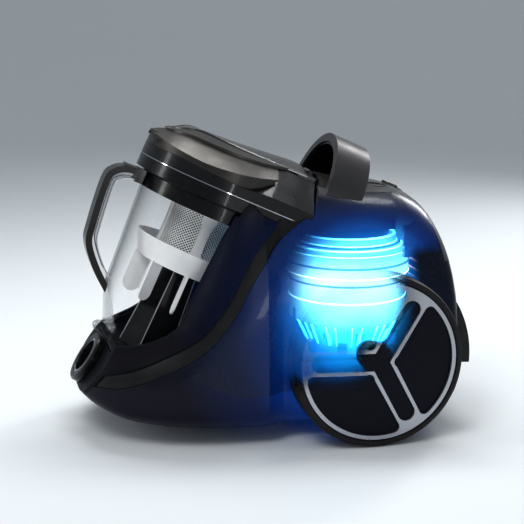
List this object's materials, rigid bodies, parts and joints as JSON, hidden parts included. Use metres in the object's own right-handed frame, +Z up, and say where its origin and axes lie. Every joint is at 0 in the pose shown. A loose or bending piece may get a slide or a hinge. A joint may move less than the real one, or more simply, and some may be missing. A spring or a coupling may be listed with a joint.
{
  "type": "canister vacuum cleaner",
  "caption": "Bagless canister vacuum with a leaning clear cyclone bin, stepped hinged lid, carry hoop, smoked shells over a motor, large rear wheels and front caster.",
  "frame": {"origin": "on the floor under the middle of the machine's bounding box", "axes": "-X to the front (the hose inlet), +Y to the machine's right, +Z up"},
  "size_m": [0.421, 0.29, 0.3215],
  "materials": {
    "bay_black": "matte black",
    "black_gloss": "gloss black",
    "black_trim": "matte black",
    "board_green": "circuit board",
    "bright_trim": "polished",
    "bronze_satin": "satin bronze-grey paint",
    "clear_bin": "clear",
    "clear_core": "clear",
    "copper_pack": "wound copper and laminations",
    "dark_shell": "gloss dark base shell",
    "fan_alloy": "satin",
    "filter_white": "pleated paper",
    "foam_grey": "open foam",
    "frame_grey": "satin",
    "gloss_band": "gloss dark grey",
    "grey_gloss": "gloss dark grey",
    "hoop_grey": "satin dark grey",
    "mesh_steel": "perforated sheet",
    "motor_shell": "satin",
    "reel_grey": "satin",
    "silver_satin": "satin silver paint",
    "smoked_column": "smoked clear",
    "smoked_shell": "smoked see-through shell",
    "smoky_band": "gloss smoky grey",
    "soft_rubber": "matte rubber",
    "steel": "machined",
    "tyre_rubber": "matte rubber",
    "wheel_dark": "gloss dark blue-grey",
    "wheel_silver": "satin silver paint",
    "white_plastic": "smooth white"
  },
  "bodies": {
    "chassis": {"base_hull": "dark_shell", "side_shell_left": "smoked_shell", "side_shell_right": "smoked_shell", "sweep_trim": "black_trim", "cradle_band": "smoky_band", "bin_bay": "bay_black", "hose_socket": "bright_trim", "hose_collar": "black_gloss", "inlet_duct": "reel_grey", "top_cover": "grey_gloss", "carry_handle": "hoop_grey", "handle_lining": "black_gloss", "rear_bumper": "soft_rubber", "exhaust_cover": "silver_satin", "exhaust_grille": "black_trim", "hepa_frame": "frame_grey", "hepa_media": "filter_white", "outlet_duct": "reel_grey", "control_board": "board_green", "cord_outlet": "soft_rubber", "reel_base": "reel_grey", "motor_cradle": "bay_black", "motor_cover": "motor_shell", "motor_can": "motor_shell", "stator": "copper_pack", "motor_bearings": "steel", "air_seals": "soft_rubber", "axles": "steel", "caster_cup": "black_trim", "base_screws": "steel"},
    "motor_rotor": {"rotor": "steel", "impeller": "fan_alloy"},
    "cord_reel": {"reel_drum": "reel_grey"},
    "left_wheel": {"tyre_left": "tyre_rubber", "wheel_left": "wheel_dark", "wheel_inlay_left": "wheel_silver"},
    "right_wheel": {"tyre_right": "tyre_rubber", "wheel_right": "wheel_dark", "wheel_inlay_right": "wheel_silver"},
    "caster": {"caster_fork": "black_trim"},
    "caster_roller": {"caster_wheel": "tyre_rubber"},
    "dust_bin": {"bin_body": "clear_bin", "bin_rim": "black_gloss", "bin_handle_core": "clear_core"},
    "release_button": {"bin_release": "silver_satin"},
    "separator": {"separator_collar": "black_gloss", "bin_seal": "soft_rubber", "mesh_shroud": "white_plastic", "mesh_screen": "mesh_steel", "riser_duct": "smoked_column", "foam_filter": "foam_grey"},
    "lid": {"lid_band": "gloss_band", "lid_trim": "bright_trim", "lid_plate": "bronze_satin", "lid_facet": "bronze_satin", "lid_spine": "grey_gloss", "lid_hinge": "grey_gloss"},
    "power": {"power_button": "grey_gloss"},
    "rewind": {"rewind_button": "grey_gloss"},
    "dial": {"suction_dial": "grey_gloss"}
  },
  "joints": [
    {"name": "wheel_left_spin", "type": "hinge", "parent": "chassis", "child": "left_wheel", "pos_m": [0.09, -0.128, 0.091], "axis": [0, 1, 0], "continuous": true},
    {"name": "wheel_right_spin", "type": "hinge", "parent": "chassis", "child": "right_wheel", "pos_m": [0.09, 0.128, 0.091], "axis": [0, 1, 0], "continuous": true},
    {"name": "caster_swivel", "type": "hinge", "parent": "chassis", "child": "caster", "pos_m": [-0.088, 0, 0.035], "axis": [0, 0, 1], "continuous": true},
    {"name": "caster_roll", "type": "hinge", "parent": "caster", "child": "caster_roller", "pos_m": [-0.08, 0, 0.012], "axis": [0, 1, 0], "continuous": true},
    {"name": "motor_spin", "type": "hinge", "parent": "chassis", "child": "motor_rotor", "pos_m": [0.1, 0, 0.12], "axis": [0, 0, 1], "continuous": true},
    {"name": "cord_reel_spin", "type": "hinge", "parent": "chassis", "child": "cord_reel", "pos_m": [0.002, 0, 0.04], "axis": [0, 0, 1], "continuous": true},
    {"name": "bin_lift", "type": "slide", "parent": "chassis", "child": "dust_bin", "axis": [0.4147, 0, 0.91], "range_m": [0, 0.24]},
    {"name": "release_press", "type": "slide", "parent": "dust_bin", "child": "release_button", "axis": [-0.4147, 0, -0.91], "range_m": [0, 0.0018], "stiffness_N_per_m": 250, "springref_m": -0.001},
    {"name": "separator_lift", "type": "slide", "parent": "dust_bin", "child": "separator", "axis": [0.4147, 0, 0.91], "range_m": [0, 0.19]},
    {"name": "lid_open", "type": "hinge", "parent": "separator", "child": "lid", "pos_m": [0.0477, 0, 0.27089], "axis": [0, 1, 0], "range_deg": [0, 75]},
    {"name": "power_press", "type": "slide", "parent": "chassis", "child": "power", "axis": [-0.1219, 0, -0.9925], "range_m": [0, 0.003], "stiffness_N_per_m": 300, "springref_m": -0.001},
    {"name": "rewind_press", "type": "slide", "parent": "chassis", "child": "rewind", "axis": [-0.1219, 0, -0.9925], "range_m": [0, 0.003], "stiffness_N_per_m": 300, "springref_m": -0.001},
    {"name": "suction_turn", "type": "hinge", "parent": "chassis", "child": "dial", "pos_m": [0.151, 0, 0.2492], "axis": [0.5, 0, 0.866], "range_deg": [-135, 135]}
  ]
}
